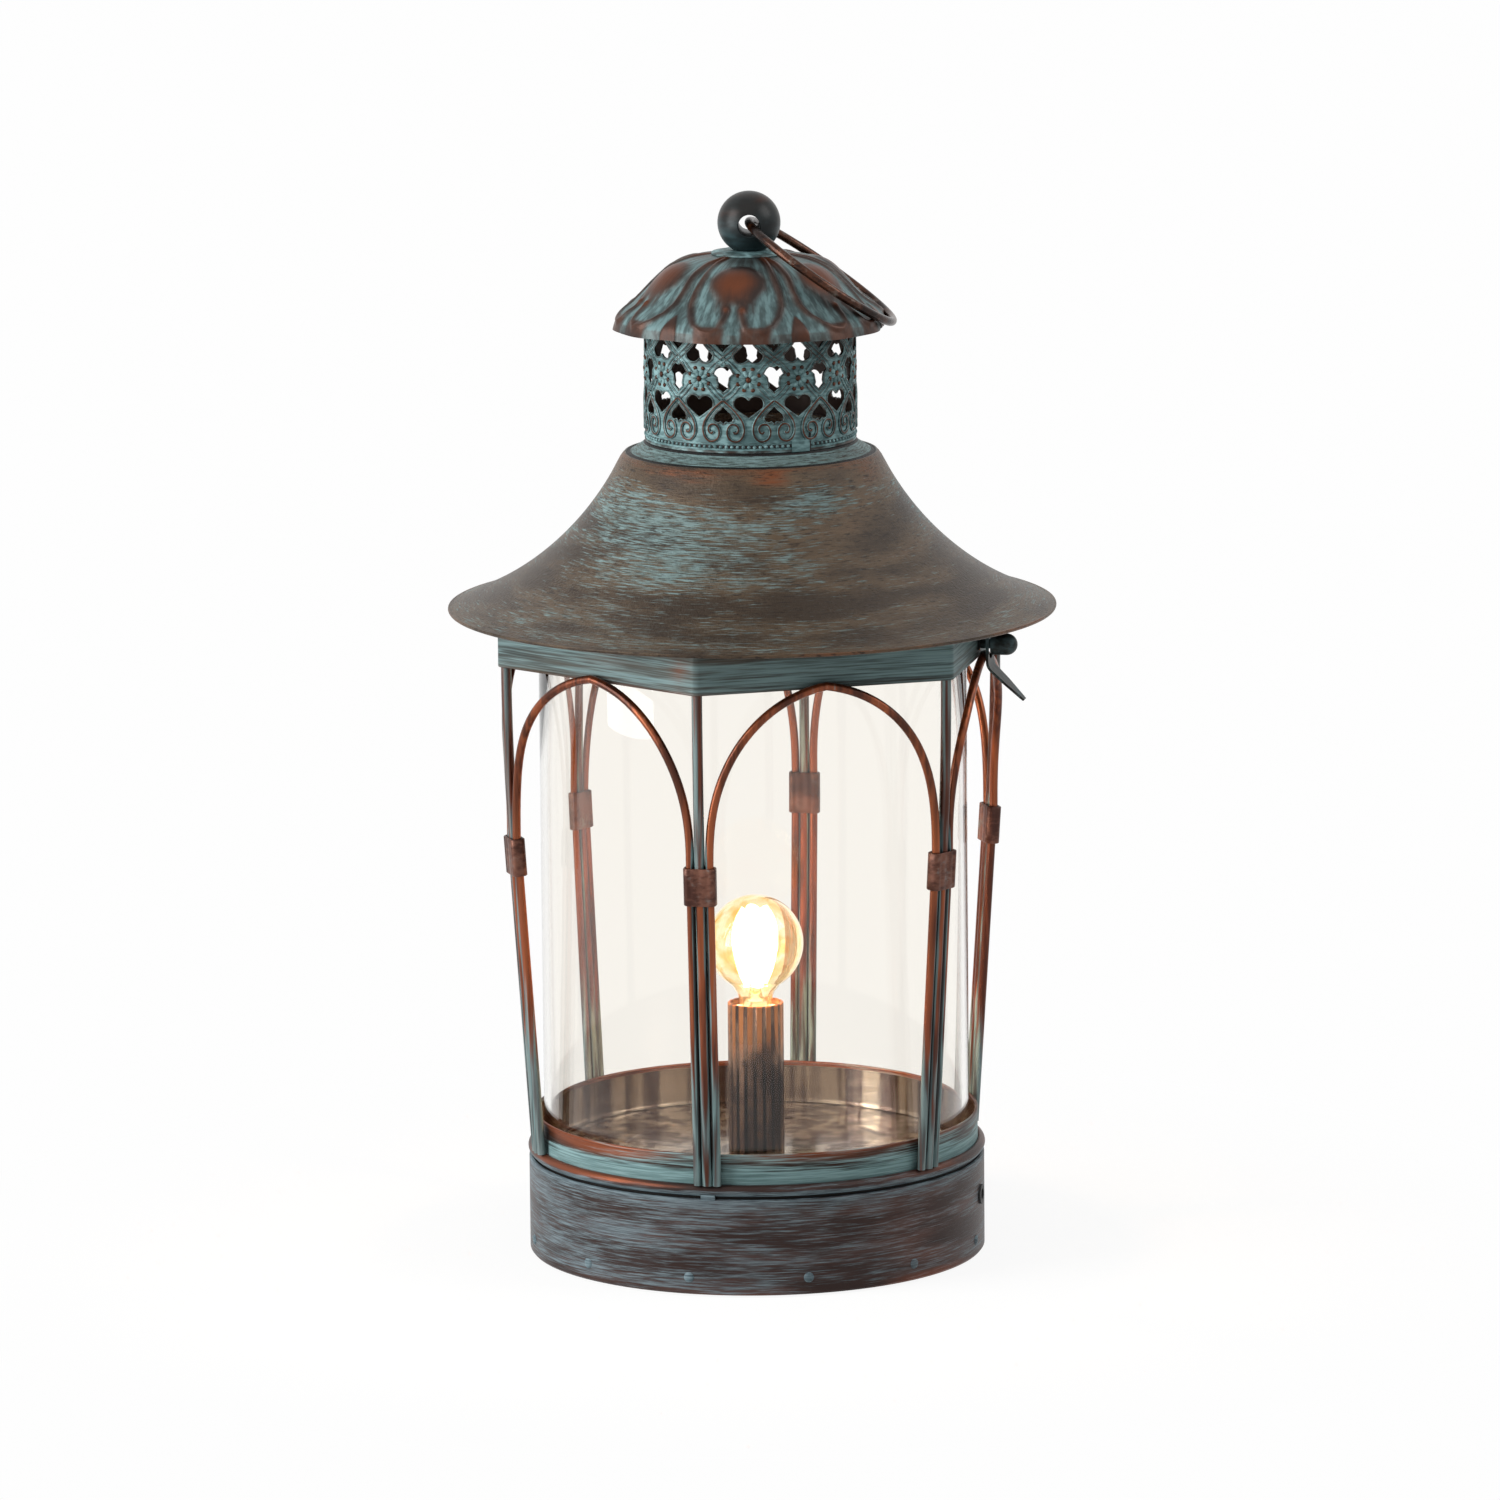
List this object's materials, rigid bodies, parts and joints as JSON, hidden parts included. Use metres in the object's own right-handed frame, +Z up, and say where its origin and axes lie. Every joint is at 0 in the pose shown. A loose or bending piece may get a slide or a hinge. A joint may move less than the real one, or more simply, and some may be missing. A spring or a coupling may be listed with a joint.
{
  "type": "lantern table lamp",
  "caption": "Lantern table lamp: wire arches round a glass chimney on a drum base, under a hinged bell roof with a pierced band, petal cap, ball and carrying ring.",
  "frame": {"origin": "middle of the underside, on the surface that the lamp stands on", "axes": "+Z up, +X to the hasp, -X to the roof hinge, -Y to the front post"},
  "size_m": [0.281, 0.281, 0.4955],
  "materials": {
    "drum_patina": "brushed antique patina, purple-brown with blue-green streaks",
    "pan_patina": "brushed antique patina, blue-green over copper brown",
    "roof_patina": "brushed antique patina, brown-grey with blue-green streaks",
    "band_patina": "blue-green patina rubbed back to copper on raised edges",
    "ball_patina": "dark blue-grey satin",
    "post_patina": "dark copper brown with blue-green in places",
    "clip_patina": "dark red-brown, worn edges",
    "hinge_patina": "dark antique satin",
    "ring_copper": "glossy copper brown",
    "sleeve_patina": "dark brown-grey satin",
    "plain_steel": "satin",
    "holder_brass": "satin",
    "holder_ceramic": "glazed",
    "clear_glass": "clear",
    "bulb_clear": "clear",
    "bulb_glow": "glowing filament",
    "grommet_rubber": "matte",
    "base_felt": "felt"
  },
  "bodies": {
    "frame": {"base_drum": "drum_patina", "base_plate": "drum_patina", "base_felt": "base_felt", "cable_grommet": "grommet_rubber", "glass_pan": "pan_patina", "glass_chimney": "clear_glass", "post_rod_1": "post_patina", "post_rod_2": "post_patina", "post_rod_3": "post_patina", "post_rod_4": "post_patina", "post_rod_5": "post_patina", "post_rod_6": "post_patina", "arch_wire_1": "post_patina", "arch_wire_2": "post_patina", "arch_wire_3": "post_patina", "arch_wire_4": "post_patina", "arch_wire_5": "post_patina", "arch_wire_6": "post_patina", "post_clip_1": "clip_patina", "post_clip_2": "clip_patina", "post_clip_3": "clip_patina", "post_clip_4": "clip_patina", "post_clip_5": "clip_patina", "post_clip_6": "clip_patina", "top_ring": "pan_patina", "hinge_leaf_ring": "hinge_patina", "hinge_pin": "plain_steel", "latch_knob": "hinge_patina", "candle_sleeve": "sleeve_patina", "lampholder": "holder_ceramic", "holder_contact": "holder_brass", "holder_nipple": "holder_brass", "holder_nut": "holder_brass"},
    "roof": {"hinge_leaf_roof": "hinge_patina", "hasp_pin": "plain_steel", "hasp_bracket": "hinge_patina", "roof_bell": "roof_patina", "pierced_band": "band_patina", "petal_cap": "band_patina", "ball_washer": "band_patina", "ball_finial": "ball_patina", "ball_screw": "plain_steel"},
    "hasp": {"hasp": "hinge_patina"},
    "handle": {"carrying_ring": "ring_copper"},
    "bulb": {"bulb_glass": "bulb_clear", "bulb_screw_cap": "plain_steel", "bulb_filament": "bulb_glow"}
  },
  "joints": [
    {"name": "roof_hinge", "type": "hinge", "parent": "frame", "child": "roof", "pos_m": [-0.1103, 0, 0.3043], "axis": [0, -1, 0], "range_deg": [0, 75]},
    {"name": "hasp_swing", "type": "hinge", "parent": "roof", "child": "hasp", "pos_m": [0.1117, 0, 0.31003], "axis": [0, -1, 0], "range_deg": [0, 60]},
    {"name": "handle_swing", "type": "hinge", "parent": "roof", "child": "handle", "pos_m": [0, 0, 0.481], "axis": [0.2164, -0.9763, 0], "range_deg": [0, 250]},
    {"name": "bulb_lift", "type": "slide", "parent": "frame", "child": "bulb", "axis": [0, 0, 1], "range_m": [0, 0.03]}
  ]
}
